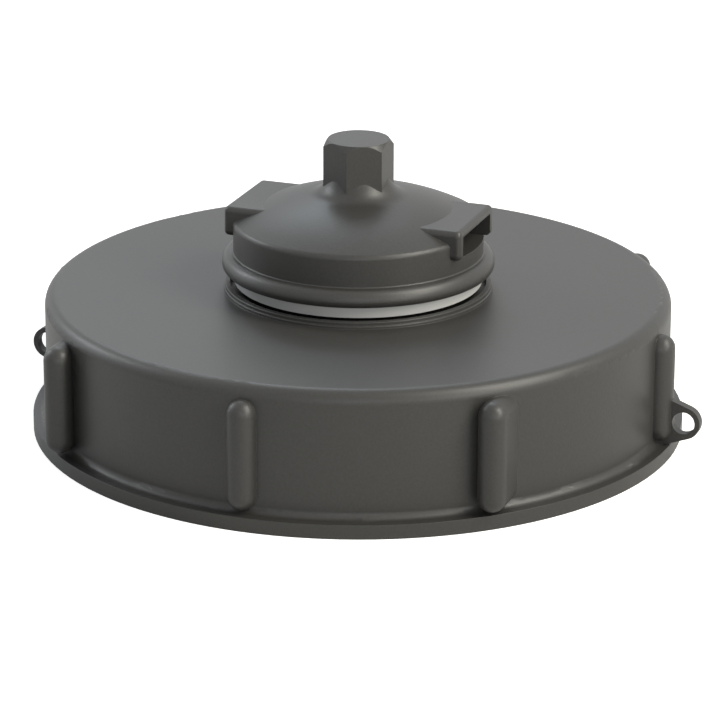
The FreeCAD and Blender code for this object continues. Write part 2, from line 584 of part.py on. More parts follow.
def add_hoods(body):
    """Add the bar through the crown whose ends are the vent hoods, and cut their pockets."""
    bar = new_sketch(body, "hood_outline", SIDE)
    left, right, inset = "-dims.hood_half_width", "dims.hood_half_width", "dims.hood_round"
    draw_outline(bar, [
        (f"{left} + {inset}", HOOD_FLOOR), (f"{right} - {inset}", HOOD_FLOOR, inset, False),
        (right, f"{HOOD_FLOOR} + {inset}"), (right, f"{HOOD_TOP} - {inset}", inset, False),
        (f"{right} - {inset}", HOOD_TOP), (f"{left} + {inset}", HOOD_TOP, inset, False),
        (left, f"{HOOD_TOP} - {inset}"), (left, f"{HOOD_FLOOR} + {inset}", inset, False),
    ])
    extrude(bar, "hoods", f"2 * ({HOOD_REACH})", both=True)
    pocket = new_sketch(body, "pocket_outline", GROUND, HOOD_FLOOR)
    half = "dims.hood_half_width - dims.hood_leg"
    draw_outline(pocket, box_outline(POCKET_BACK, f"{HOOD_REACH} + dims.hood_leg", f"-({half})", half))
    cut = extrude(pocket, "pocket", f"{HOOD_TOP} - dims.hood_roof - ({HOOD_FLOOR})",
                  "PartDesign::Pocket", reverse=True)
    pattern = body.newObject("PartDesign::PolarPattern", "pockets")
    pattern.Originals = [cut]
    pattern.Axis = (origin_axis(body), [""])
    pattern.Angle = 360
    pattern.Occurrences = 2
    body.Tip = pattern
    doc.recompute()
    reach = number_of(HOOD_REACH)
    inner = number_of(half)
    roof = number_of(f"{HOOD_TOP} - dims.hood_roof")

    def on_end(edge):
        at_end = lies_at(edge, 0, reach) or lies_at(edge, 0, -reach)
        inside = lies_at(edge, 1, inner) or lies_at(edge, 1, -inner) or lies_at(edge, 2, roof)
        return at_end and not inside

    round_edges(body, "hood_ends", pattern, "dims.hood_end_round", on_end)


def hollow_plug(body):
    """Cut the cartridge bore, the valve chamber and the vent ports."""
    chamber_top = f"{CHAMBER_TOP} + dims.chamber_cone"
    spin(body, "chamber", [
        ("0", SHANK_LOW), (PLUG_BORE, SHANK_LOW), (PLUG_BORE, GROOVE_LOW),
        (f"{PLUG_BORE} + dims.ring_groove", GROOVE_LOW),
        (f"{PLUG_BORE} + dims.ring_groove", GROOVE_TOP),
        (PLUG_BORE, GROOVE_TOP), (PLUG_BORE, CHAMBER_FLOOR),
        (CHAMBER_RADIUS, CHAMBER_FLOOR), (CHAMBER_RADIUS, CHAMBER_TOP),
        ("dims.chamber_flat_radius", chamber_top), ("0", chamber_top),
    ], "PartDesign::Groove")
    ports = new_sketch(body, "port_outline", SIDE)
    for place in ("-dims.port_pitch", "0", "dims.port_pitch"):
        draw_circle(ports, (place, f"{HOOD_FLOOR} + dims.port_level"), "dims.port_radius")
    extrude(ports, "vent_ports", f"2 * ({POCKET_BACK}) + dims.hood_leg", "PartDesign::Pocket", both=True)


def make_valve_body():
    """The cartridge that carries the pressure valve's lip and the vacuum valve."""
    body = new_body("valve_body")
    opening = "dims.seat_hole_radius"
    lip = "dims.seat_hole_radius + dims.seat_lip_width"
    spin(body, "cartridge", [
        (opening, PLATE_LOW), (BODY_BORE, PLATE_LOW), (BODY_BORE, BODY_LOW), (CARTRIDGE, BODY_LOW),
        (CARTRIDGE, BODY_TOP), (CAGE_BORE, BODY_TOP), (CAGE_BORE, CAGE_SEAT), (BODY_BORE, CAGE_SEAT),
        (BODY_BORE, PLATE_TOP), (lip, PLATE_TOP), (lip, LIP_TOP), (opening, LIP_TOP),
    ])
    holes = new_sketch(body, "air_outline", GROUND, PLATE_LOW)
    draw_circle(holes, (UMBRELLA_OFFSET, "0"), "dims.umbrella_stem_radius")
    diagonal = "dims.air_hole_ring"
    for across, along in ((diagonal, "0"), ("0", diagonal), (f"-{diagonal}", "0"), ("0", f"-{diagonal}")):
        draw_circle(holes, (f"{UMBRELLA_OFFSET} + {across}", along), "dims.air_hole_radius")
    extrude(holes, "air_holes", "dims.plate_thickness", "PartDesign::Pocket", reverse=True)
    return body


def make_valve_cage():
    """The cage that guides the poppet's stem and holds the spring down."""
    body = new_body("valve_cage")
    guide = "dims.stem_radius + dims.stem_gap"
    spin(body, "cage", [
        (BODY_BORE, CAGE_SEAT), (f"{CAGE_BORE} - dims.cage_gap", CAGE_SEAT),
        (f"{CAGE_BORE} - dims.cage_gap", BODY_TOP), (BODY_BORE, BODY_TOP),
        ("dims.cage_hub_radius", CAGE_TOP), (guide, CAGE_TOP), (guide, CAGE_HUB_LOW),
        ("dims.cage_hub_radius", CAGE_HUB_LOW),
    ])
    window = new_sketch(body, "window_outline", GROUND, CAGE_SEAT)
    draw_outline(window, box_outline("dims.cage_hub_radius + dims.cage_rim", f"{BODY_BORE} - dims.cage_rim",
                                     "-dims.cage_window_width / 2", "dims.cage_window_width / 2"))
    cut = extrude(window, "window", "dims.cage_rise", "PartDesign::Pocket", reverse=True)
    repeat(body, "windows", cut, "dims.cage_window_count")
    return body


def make_poppet():
    """The pressure valve's poppet with its stem."""
    body = new_body("poppet")
    stem_top = f"{CAGE_TOP} + dims.stem_stand_out"
    spin(body, "poppet_turned", [
        ("0", LIP_TOP), ("dims.poppet_hub_radius", LIP_TOP), ("dims.poppet_hub_radius", POPPET_LOW),
        ("dims.poppet_radius", POPPET_LOW), ("dims.poppet_radius", POPPET_TOP),
        ("dims.stem_radius", POPPET_TOP), ("dims.stem_radius", stem_top), ("0", stem_top),
    ])
    return body


def make_spring():
    """The coil spring between poppet and cage."""
    body = new_body("valve_spring")
    start = new_sketch(body, "wire_outline", FRONT)
    middle = "dims.spring_radius", f"{POPPET_TOP} + dims.spring_wire_radius"
    draw_outline(start, hexagon_corners(middle, "dims.spring_wire_radius"))
    coil = body.newObject("PartDesign::AdditiveHelix", "coil")
    coil.Profile = start
    coil.ReferenceAxis = (start, ["V_Axis"])
    coil.Mode = "height-turns-angle"
    coil.setExpression("Height", f"{CAGE_HUB_LOW} - ({POPPET_TOP}) - 2 * dims.spring_wire_radius")
    coil.setExpression("Turns", "dims.spring_turns")
    doc.recompute()
    return body


def make_vacuum_valve():
    """The soft umbrella that lets air in, with its stem through the valve plate."""
    body = new_body("vacuum_valve")
    stem = "dims.umbrella_stem_radius"
    edge = f"{PLATE_LOW} - dims.umbrella_thickness / 3"
    spin(body, "umbrella", [
        ("0", f"{PLATE_LOW} - dims.umbrella_thickness"), (stem, f"{PLATE_LOW} - dims.umbrella_thickness"),
        ("dims.umbrella_radius", edge), ("dims.umbrella_radius", PLATE_LOW), (stem, PLATE_LOW),
        (stem, PLATE_TOP), ("dims.umbrella_bead_radius", PLATE_TOP),
        (f"{stem} / 2", f"{PLATE_TOP} + dims.umbrella_bead_height"),
        ("0", f"{PLATE_TOP} + dims.umbrella_bead_height"),
    ])
    body.setExpression("Placement.Base.x", UMBRELLA_OFFSET)
    return body


def make_disc(label, radius, low, height):
    """A plain disc."""
    body = new_body(label)
    sketch = new_sketch(body, f"{label}_outline", GROUND, low)
    draw_circle(sketch, ("0", "0"), radius)
    extrude(sketch, f"{label}_disc", height)
    return body


def make_splash_baffle():
    """The drilled disc that keeps splashes off the filter."""
    body = make_disc("splash_baffle", CARTRIDGE, RING_TOP, "dims.baffle_height")
    sketch = new_sketch(body, "baffle_hole_outline", GROUND, RING_TOP)
    draw_circle(sketch, ("dims.baffle_hole_ring", "0"), "dims.baffle_hole_radius")
    hole = extrude(sketch, "baffle_hole", "dims.baffle_height", "PartDesign::Pocket", reverse=True)
    repeat(body, "baffle_holes", hole, "dims.baffle_hole_count")
    return body


def make_snap_ring():
    """The open ring that holds the stack up in the plug's bore."""
    body = new_body("snap_ring")
    spin(body, "ring", box_outline(f"{RING_RADIUS} - dims.ring_width", RING_RADIUS,
                                   f"{RING_TOP} - dims.ring_height", RING_TOP))
    gap = new_sketch(body, "opening_outline", GROUND, f"{RING_TOP} - dims.ring_height")
    draw_outline(gap, box_outline("-dims.ring_opening / 2", "dims.ring_opening / 2",
                                  CHAMBER_RADIUS, f"{RING_RADIUS} + dims.ring_width"))
    extrude(gap, "opening", "dims.ring_height", "PartDesign::Pocket", reverse=True)
    return body


def write_part(body):
    """Check one sub-part and write its file."""
    for item in [body, *body.Group]:
        if "Invalid" in item.State or "Error" in item.State:
            raise RuntimeError(f"{item.Label} has state {item.State}")
    shape = body.Shape
    if shape.isNull() or not shape.isValid() or len(shape.Solids) != 1:
        raise RuntimeError(f"{body.Label} is not one sound solid")
    shape.exportStep(f"parts/{body.Label}.step")
    print(body.Label, round(shape.Volume), shape.BoundBox)


parts = [
    make_lid_body(),
    make_ring("neck_gasket", GASKET_BORE, GASKET_OUTER, f"{DISC_UNDER} - dims.gasket_height", DISC_UNDER),
    make_plug_body(),
    make_plug_seal(),
    make_ring("valve_gasket", CHAMBER_RADIUS, CARTRIDGE, BODY_TOP, CHAMBER_FLOOR),
    make_valve_body(),
    make_valve_cage(),
    make_poppet(),
    make_ring("poppet_seal", "dims.poppet_hub_radius", "dims.poppet_seal_radius", LIP_TOP, POPPET_LOW),
    make_spring(),
    make_vacuum_valve(),
    make_disc("filter_disc", CARTRIDGE, BAFFLE_TOP, "dims.filter_height"),
    make_splash_baffle(),
    make_snap_ring(),
]
doc.recompute()
os.makedirs("parts", exist_ok=True)
for part in parts:
    write_part(part)
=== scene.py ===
"""Looks of the vented tank lid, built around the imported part: threads, bead, spring, finishes, studio, camera.

The lid stands on its flange with its axis on Z and its wire eyes on X. Sizes are in metres unless a name
ends in _mm, angles are in degrees, and each surface is a function of two parameters on a grid.
"""

import json
import logging
import math
from dataclasses import dataclass, field
from enum import Enum

import bpy
import numpy as np
from mathutils import Matrix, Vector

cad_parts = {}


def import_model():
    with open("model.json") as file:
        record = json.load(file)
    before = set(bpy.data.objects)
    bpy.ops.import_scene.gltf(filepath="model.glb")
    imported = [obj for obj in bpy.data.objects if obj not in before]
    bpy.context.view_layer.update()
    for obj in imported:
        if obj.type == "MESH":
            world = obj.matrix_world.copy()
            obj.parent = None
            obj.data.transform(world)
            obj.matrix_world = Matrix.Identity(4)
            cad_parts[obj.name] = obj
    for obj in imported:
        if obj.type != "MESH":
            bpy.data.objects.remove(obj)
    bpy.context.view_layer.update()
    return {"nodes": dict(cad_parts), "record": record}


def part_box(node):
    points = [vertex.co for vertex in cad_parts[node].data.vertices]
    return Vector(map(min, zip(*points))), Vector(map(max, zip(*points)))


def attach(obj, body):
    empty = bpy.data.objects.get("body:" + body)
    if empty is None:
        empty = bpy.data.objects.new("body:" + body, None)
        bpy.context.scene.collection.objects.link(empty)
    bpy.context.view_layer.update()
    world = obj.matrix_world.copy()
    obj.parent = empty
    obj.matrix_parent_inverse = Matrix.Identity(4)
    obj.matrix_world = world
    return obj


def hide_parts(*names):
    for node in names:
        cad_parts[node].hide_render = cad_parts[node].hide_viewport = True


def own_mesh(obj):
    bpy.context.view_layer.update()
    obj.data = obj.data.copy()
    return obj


MM = 0.001
BEVEL_SAMPLES = 6
LOG = logging.getLogger("vented_tank_lid")


class Hand(Enum):
    """Which side of its wall a screw ridge stands on."""

    OUTWARD = 1.0
    INWARD = -1.0


# Materials


def node_tree(name: str) -> tuple[bpy.types.Material, bpy.types.NodeTree, bpy.types.Node]:
    """Start a material.

    Args:
        name: the material's name.

    Returns:
        The material, its node tree and its Principled shader.
    """
    material = bpy.data.materials.new(name)
    material.use_nodes = True
    tree = material.node_tree
    shader = next(node for node in tree.nodes if node.type == "BSDF_PRINCIPLED")
    return material, tree, shader


def fine_noise(tree: bpy.types.NodeTree, size_mm: float) -> bpy.types.NodeSocket:
    """Add a noise that keeps its place on the piece.

    Args:
        tree: the node tree that it goes into.
        size_mm: size of its grains.

    Returns:
        Its socket, from 0 to 1.
    """
    noise = tree.nodes.new("ShaderNodeTexNoise")
    noise.inputs["Scale"].default_value = 1.0 / (size_mm * MM)
    tree.links.new(tree.nodes.new("ShaderNodeTexCoord").outputs["Object"], noise.inputs["Vector"])
    return noise.outputs["Fac"]


def soft_edges(tree: bpy.types.NodeTree, radius_mm: float) -> bpy.types.NodeSocket:
    """Add a node that shades edges as if they had a small radius.

    Args:
        tree: the node tree that it goes into.
        radius_mm: the radius.

    Returns:
        Its normal.
    """
    edge = tree.nodes.new("ShaderNodeBevel")
    edge.samples = BEVEL_SAMPLES
    edge.inputs["Radius"].default_value = radius_mm * MM
    return edge.outputs["Normal"]


@dataclass(frozen=True)
class MouldedPlastic:
    """Satin plastic with a fine spark-eroded grain, edges softened by a small radius."""

    name: str
    colour: tuple[float, float, float]
    roughness: float = 0.43
    grain_size_mm: float = 0.7
    grain_depth_mm: float = 0.02
    edge_radius_mm: float = 0.2
    mottle: float = 0.24
    specular: float = 0.5

    def material(self) -> bpy.types.Material:
        """Build the material: a fine noise gives the grain and moves the colour a little up and down.

        Returns:
            The finished material.
        """
        material, tree, shader = node_tree(self.name)
        nodes, links = tree.nodes, tree.links
        grain = fine_noise(tree, self.grain_size_mm)

        bump = nodes.new("ShaderNodeBump")
        bump.inputs["Strength"].default_value = 1.0
        bump.inputs["Distance"].default_value = self.grain_depth_mm * MM
        links.new(grain, bump.inputs["Height"])
        links.new(soft_edges(tree, self.edge_radius_mm), bump.inputs["Normal"])
        links.new(bump.outputs["Normal"], shader.inputs["Normal"])

        tint = nodes.new("ShaderNodeMix")
        tint.data_type = "RGBA"
        dark = tuple(part * (1.0 - self.mottle) for part in self.colour)
        light = tuple(part * (1.0 + self.mottle) for part in self.colour)
        tint.inputs["A"].default_value = (*dark, 1.0)
        tint.inputs["B"].default_value = (*light, 1.0)
        links.new(grain, tint.inputs["Factor"])
        links.new(tint.outputs["Result"], shader.inputs["Base Color"])

        shader.inputs["Roughness"].default_value = self.roughness
        shader.inputs["Specular IOR Level"].default_value = self.specular
        return material


@dataclass(frozen=True)
class PlainFinish:
    """A smooth finish with a very fine unevenness in its gloss."""

    name: str
    colour: tuple[float, float, float]
    roughness: float
    metallic: float = 0.0
    edge_radius_mm: float = 0.2
    cloud_size_mm: float = 3.0
    cloud: float = 0.06

    def material(self) -> bpy.types.Material:
        """Build the material: a soft noise moves the roughness a little up and down.

        Returns:
            The finished material.
        """
        material, tree, shader = node_tree(self.name)
        spread = tree.nodes.new("ShaderNodeMapRange")
        spread.inputs["To Min"].default_value = self.roughness - self.cloud
        spread.inputs["To Max"].default_value = self.roughness + self.cloud
        tree.links.new(fine_noise(tree, self.cloud_size_mm), spread.inputs["Value"])
        tree.links.new(spread.outputs["Result"], shader.inputs["Roughness"])
        tree.links.new(soft_edges(tree, self.edge_radius_mm), shader.inputs["Normal"])
        shader.inputs["Base Color"].default_value = (*self.colour, 1.0)
        shader.inputs["Metallic"].default_value = self.metallic
        return material


@dataclass(frozen=True)
class SealWithPaintedShade(PlainFinish):
    """A pale sealing ring in its recess, painted near-black and dull low down as painted shade of the gap under
    it.
    """

    # painted shade: near-black colour that stands in for the shadow in the gap under the ring
    painted_shade_colour: tuple[float, float, float] = (0.012, 0.012, 0.012)
    foot_top_mm: float = 41.3
    specular: float = 0.5

    def material(self) -> bpy.types.Material:
        """Build the material: below the foot's top the ring is painted dark and dull, a painted shadow of the
        gap between ring and recess.

        Returns:
            The finished material.
        """
        material = super().material()
        nodes, links = material.node_tree.nodes, material.node_tree.links
        shader = nodes["Principled BSDF"]
        place = nodes.new("ShaderNodeSeparateXYZ")
        links.new(nodes.new("ShaderNodeTexCoord").outputs["Object"], place.inputs["Vector"])
        # painted shade mask: 1 above the foot's top, 0 below it, where the ring is painted dark
        above = nodes.new("ShaderNodeMath")
        above.operation = "GREATER_THAN"
        above.inputs[1].default_value = self.foot_top_mm * MM
        links.new(place.outputs["Z"], above.inputs[0])
        tint = nodes.new("ShaderNodeMix")
        tint.data_type = "RGBA"
        tint.inputs["A"].default_value = (*self.painted_shade_colour, 1.0)
        tint.inputs["B"].default_value = (*self.colour, 1.0)
        links.new(above.outputs["Value"], tint.inputs["Factor"])
        links.new(tint.outputs["Result"], shader.inputs["Base Color"])
        # painted shade: the gloss is taken away below the foot's top too, so the painted shadow shows no
        # reflection
        gloss = nodes.new("ShaderNodeMath")
        gloss.operation = "MULTIPLY"
        gloss.inputs[1].default_value = self.specular
        links.new(above.outputs["Value"], gloss.inputs[0])
        links.new(gloss.outputs["Value"], shader.inputs["Specular IOR Level"])
        return material


LID_PLASTIC = MouldedPlastic("lid_plastic", (0.037, 0.0365, 0.035))
PLUG_PLASTIC = MouldedPlastic("plug_plastic", (0.037, 0.0365, 0.035), roughness=0.41)
# the ring's lower part carries painted shade, near-black below the foot's top
PALE_SEAL = SealWithPaintedShade("pale_seal", (0.59, 0.6, 0.6), 0.45)
GREY_SEAL = PlainFinish("grey_seal", (0.3, 0.3, 0.3), 0.6)
DARK_RUBBER = PlainFinish("dark_rubber", (0.03, 0.03, 0.03), 0.55)
VALVE_PLASTIC = PlainFinish("valve_plastic", (0.72, 0.72, 0.68), 0.4)
POPPET_PLASTIC = PlainFinish("poppet_plastic", (0.5, 0.05, 0.03), 0.35)
SPRING_STEEL = PlainFinish("spring_steel", (0.6, 0.6, 0.6), 0.28, metallic=1.0)
FILTER_FELT = PlainFinish("filter_felt", (0.8, 0.8, 0.78), 0.85)

SLOT_FINISHES = {
    "dark_plastic": LID_PLASTIC,
    "plug_plastic": PLUG_PLASTIC,
    "pale_seal": PALE_SEAL,
    "grey_seal": GREY_SEAL,
    "dark_rubber": DARK_RUBBER,
    "valve_plastic": VALVE_PLASTIC,
    "poppet_plastic": POPPET_PLASTIC,
    "spring_steel": SPRING_STEEL,
    "filter_felt": FILTER_FELT,
}


@dataclass
class Wardrobe:
    """The finish of each slot, built once and shared by the pieces that wear it."""

    made: dict[str, bpy.types.Material] = field(default_factory=dict)

    def of(self, slot: str) -> bpy.types.Material:
        """Find the material of a slot, and build it on first use.

        Args:
            slot: a material slot of the record.

        Returns:
            The slot's material.
        """
        if slot not in self.made:
            self.made[slot] = SLOT_FINISHES[slot].material()
        return self.made[slot]


# Surfaces


def add_surface(name: str, points: np.ndarray, faces: np.ndarray, smooth: bool = True) -> bpy.types.Object:
    """Make an object from points and quads.

    Args:
        name: the object's name.
        points: n by 3 array, in metres.
        faces: m by 4 array of point numbers, or -1 in the last column for a triangle.
        smooth: whether the faces shade smoothly.

    Returns:
        The new object, linked to the scene.
    """
    mesh = bpy.data.meshes.new(name)
    rows = [tuple(int(i) for i in face if i >= 0) for face in faces]
    mesh.from_pydata(points.tolist(), [], rows)
    mesh.polygons.foreach_set("use_smooth", np.full(len(mesh.polygons), smooth))
    mesh.update()
    thing = bpy.data.objects.new(name, mesh)
    bpy.context.scene.collection.objects.link(thing)
    return thing


def grid_faces(rows: int, columns: int, closed: bool = False) -> np.ndarray:
    """Quads of a grid whose columns close round on themselves.

    Args:
        rows: number of points along the path.
        columns: number of points round the section.
        closed: whether the last row joins the first again.

    Returns:
        An array of quads, turned outwards for a section that runs anticlockwise seen against the path.
    """
    row, column = np.meshgrid(np.arange(rows if closed else rows - 1), np.arange(columns), indexing="ij")
    after = (column + 1) % columns
    beyond = (row + 1) % rows
    a = row * columns + column
    b = row * columns + after
    c = beyond * columns + after
    d = beyond * columns + column
    return np.stack([a, b, c, d], axis=-1).reshape(-1, 4)


def tube_faces(rows: int, columns: int) -> np.ndarray:
    """Faces of a closed section that is carried along an open path, with both ends capped.

    Args:
        rows: number of points along the path.
        columns: number of points round the section.

    Returns:
        An array of quads, then of triangles with -1 in their last column.
    """
    ring = np.arange(columns)
    last = (rows - 1) * columns
    blank = np.full(columns - 2, -1)
    start = np.stack([np.zeros(columns - 2, int), ring[2:], ring[1:-1], blank], axis=1)
    end = np.stack([np.full(columns - 2, last), last + ring[1:-1], last + ring[2:], blank], axis=1)
    return np.concatenate([grid_faces(rows, columns), start, end])


@dataclass
class ScrewRidge:
    """A screw thread as one ridge that climbs round a wall and fades out at both ends."""

    name: str
    body: str
    slot: str
    wall_radius: float
    depth: float
    pitch: float
    low: float
    high: float
    hand: Hand
    lift: float = 0.0
    width_share: float = 1.0
    crest_share: float = 0.25
    sink: float = 0.0001
    fade: float = 0.35
    steps_per_turn: int = 96
    section_points: int = 9

    def section(self) -> tuple[np.ndarray, np.ndarray]:
        """Cross-section of the ridge: a trapezium with rounded corners.

        The height over the wall is 1 on the crest and falls to 0 at the foot with a smooth step:
        s * s * (3 - 2 * s), where s is the distance from the foot over the flank's length.

        Returns:
            Offsets along the axis, as shares of the pitch, and heights from 0 to 1.
        """
        half = self.width_share / 2
        crest = half * self.crest_share
        offsets = np.linspace(-half, half, self.section_points)
        slope = np.clip((half - np.abs(offsets)) / (half - crest), 0, 1)
        return offsets, slope * slope * (3 - 2 * slope)

    def build(self, wardrobe: Wardrobe) -> bpy.types.Object:
        """Carry the section up a helix: the height is low + pitch * angle / full turn.

        Args:
            wardrobe: where the ridge's finish comes from.

        Returns:
            The finished ridge, riding on its body.
        """
        turns = (self.high - self.low) / self.pitch
        count = int(turns * self.steps_per_turn) + 1
        turn = np.linspace(0, turns, count)
        angle = 2 * math.pi * turn
        offsets, heights = self.section()
        ends = np.clip(np.minimum(turn, turns - turn) / self.fade, 0.0, 1.0)
        ends = ends * ends * (3 - 2 * ends)
        base = self.wall_radius - self.hand.value * self.sink
        out = self.wall_radius + self.hand.value * self.depth * ends[:, None] * heights[None, :]
        level = self.low + self.lift + self.pitch * (turn[:, None] + offsets[None, :])
        back = np.full((count, 2), base)
        back_level = level[:, [-1, 0]]
        radius = np.concatenate([out, back], axis=1)
        height = np.concatenate([level, back_level], axis=1)
        if self.hand is Hand.OUTWARD:
            radius, height = radius[:, ::-1], height[:, ::-1]
        across = radius * np.cos(angle)[:, None]
        along = radius * np.sin(angle)[:, None]
        points = np.stack([across, along, height], axis=-1).reshape(-1, 3)
        thing = add_surface(self.name, points, tube_faces(*radius.shape))
        thing.data.materials.append(wardrobe.of(self.slot))
        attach(thing, self.body)
        return thing


@dataclass
class ScrewThreads:
    """The three threads: tank neck, plug and hub. Plug and hub ridges stand half a pitch apart."""

    plug_pitch: float = 2.309 * MM
    plug_depth: float = 1.4 * MM
    plug_root: float = 28.4 * MM
    plug_ends: tuple[float, float] = (28.2 * MM, 38.0 * MM)
    hub_root: float = 30.0 * MM
    hub_ends: tuple[float, float] = (25.6 * MM, 37.8 * MM)
    neck_pitch: float = 7.0 * MM
    neck_depth: float = 2.4 * MM
    neck_root: float = 83.0 * MM
    neck_ends: tuple[float, float] = (4.2 * MM, 18.4 * MM)

    def build(self, wardrobe: Wardrobe) -> list[bpy.types.Object]:
        """Build all three ridges.

        Args:
            wardrobe: where their finishes come from.

        Returns:
            The finished ridges.
        """
        turns_apart = (self.hub_ends[0] - self.plug_ends[0]) / self.plug_pitch
        half_turn = 0.5
        hub_lift = self.plug_pitch * (math.ceil(turns_apart) - turns_apart + half_turn)
        ridges = (
            ScrewRidge("plug_thread", "plug", "plug_plastic", self.plug_root, self.plug_depth,
                       self.plug_pitch, *self.plug_ends, Hand.OUTWARD),
            ScrewRidge("hub_thread", "lid", "dark_plastic", self.hub_root, self.plug_depth,
                       self.plug_pitch, *self.hub_ends, Hand.INWARD, lift=hub_lift),
            ScrewRidge("neck_thread", "lid", "dark_plastic", self.neck_root, self.neck_depth,
                       self.neck_pitch, *self.neck_ends, Hand.INWARD, width_share=0.6,
                       crest_share=0.35, steps_per_turn=160, section_points=11),
        )
        return [ridge.build(wardrobe) for ridge in ridges]


@dataclass
class BeadFairing:
    """The full round that the plug's bead has towards the wall of its head, laid over the bead.

    A quarter of an ellipse rises from the bead's nose, and a small hollow leads from its top to the wall.
    """

    head_radius: float = 34.7 * MM
    reach: float = 37.8 * MM
    nose_level: float = 46.4 * MM
    rise: float = 3.3 * MM
    hollow: float = 0.35 * MM
    lift: float = 0.01 * MM
    root: float = 0.5 * MM
    crease: float = 40.0
    columns: int = 192
    round_points: int = 18
    hollow_points: int = 10

    def section(self) -> np.ndarray:
        """Cross-section of the ring: its visible curve, then two corners inside the head's wall.

        Returns:
            One row of radius and height for each point.
        """
        centre = self.head_radius + self.hollow
        top = self.nose_level + self.rise + self.hollow
        climb = np.linspace(0, math.pi / 2, self.round_points)
        full = np.stack([centre + (self.reach - centre) * np.cos(climb),
                         self.nose_level + self.rise * np.sin(climb)], axis=1)
        sweep = np.linspace(0, math.pi / 2, self.hollow_points)[1:]
        hollow = np.stack([centre - self.hollow * np.sin(sweep), top - self.hollow * np.cos(sweep)], axis=1)
        seen = np.concatenate([full, hollow]) + np.array([self.lift, 0.0])
        inside = self.head_radius - self.root
        return np.concatenate([seen, np.array([(inside, top), (inside, self.nose_level)])])

    def build(self, wardrobe: Wardrobe) -> bpy.types.Object:
        """Turn the section round the plug's axis.

        Args:
            wardrobe: where the ring's finish comes from.

        Returns:
            The finished ring, riding on the plug.
        """
        radius, level = self.section().T
        angle = 2 * math.pi * np.arange(self.columns) / self.columns
        points = np.stack([radius[:, None] * np.cos(angle), radius[:, None] * np.sin(angle),
                           np.repeat(level[:, None], self.columns, axis=1)], axis=-1).reshape(-1, 3)
        thing = add_surface("bead_fairing", points, grid_faces(len(radius), self.columns, closed=True))
        thing.data.set_sharp_from_angle(angle=math.radians(self.crease))
        thing.data.materials.append(wardrobe.of("plug_plastic"))
        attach(thing, "plug")
        return thing


@dataclass
class ValveCoil:
    """The valve's spring in round wire."""

    radius: float = 4.5 * MM
    wire: float = 0.4 * MM
    turns: float = 4.0
    valve_travel: float = 2.5 * MM
    steps_per_turn: int = 40
    section_points: int = 12

    def build(self, wardrobe: Wardrobe) -> bpy.types.Object:
        """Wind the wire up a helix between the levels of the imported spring's two ends.

        Args:
            wardrobe: where the coil's finish comes from.

        Returns:
            The finished coil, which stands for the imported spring.
        """
        low, high = (corner[2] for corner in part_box("valve_spring"))
        turn = np.linspace(0, self.turns, int(self.turns * self.steps_per_turn) + 1)
        angle = 2 * math.pi * turn[:, None]
        around = -2 * math.pi * np.arange(self.section_points)[None, :] / self.section_points
        reach = self.radius + self.wire * np.cos(around)
        level = low + self.wire + (high - low - 2 * self.wire) * turn[:, None] / self.turns
        points = np.stack([reach * np.cos(angle), reach * np.sin(angle),
                           level + self.wire * np.sin(around)], axis=-1).reshape(-1, 3)
        thing = add_surface("valve_coil", points, tube_faces(len(turn), self.section_points))
        thing.data.materials.append(wardrobe.of("spring_steel"))
        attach(thing, "plug")
        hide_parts("valve_spring")
        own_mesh(thing)
        return thing


# Dressing


@dataclass
class CastParts:
    """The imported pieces, each of which gets its own finish."""

    nodes: dict[str, bpy.types.Object]
    record: dict
    wardrobe: Wardrobe

    def dress(self) -> None:
        """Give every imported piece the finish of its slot."""
        slots = {part["node"]: part["material_slot"] for part in self.record["subparts"]}
        for name, thing in self.nodes.items():
            material = self.wardrobe.of(slots[name])
            thing.data.materials.clear()
            thing.data.materials.append(material)
            LOG.info("dressed %s in %s", name, material.name)


# Studio


@dataclass
class StudioCamera:
    """The camera of the photo: a long lens in front of the lid, a little to its right."""

    place: tuple[float, float, float] = (0.000546, -0.987926, 0.367373)
    lid_turn: float = 20.1
    down: float = 19.522
    roll: float = -0.1543
    lens_mm: float = 187.08
    sensor_mm: float = 36.0
    nearest: float = 0.05
    farthest: float = 20.0

    def build(self) -> bpy.types.Object:
        """Place the camera. It was found with the lid turned, so it is turned back by that angle.

        Returns:
            The scene's camera.
        """
        turn, down, roll = (math.radians(part) for part in (self.lid_turn, self.down, self.roll))
        spin = np.array([[math.cos(turn), -math.sin(turn), 0], [math.sin(turn), math.cos(turn), 0], [0, 0, 1]])
        right = np.array([1.0, 0.0, 0.0])
        up = np.array([0.0, math.sin(down), math.cos(down)])
        back = np.array([0.0, -math.cos(down), math.sin(down)])
        tilted_right = right * math.cos(roll) - up * math.sin(roll)
        tilted_up = right * math.sin(roll) + up * math.cos(roll)
        matrix = np.eye(4)
        for column, axis in enumerate((tilted_right, tilted_up, back)):
            matrix[:3, column] = spin @ axis
        matrix[:3, 3] = spin @ np.array(self.place)
        data = bpy.data.cameras.new("studio_camera")
        data.lens = self.lens_mm
        data.sensor_width = self.sensor_mm
        data.clip_start = self.nearest
        data.clip_end = self.farthest
        camera = bpy.data.objects.new("studio_camera", data)
        bpy.context.scene.collection.objects.link(camera)
        camera.matrix_world = Matrix(matrix.tolist())
        bpy.context.scene.camera = camera
        return camera


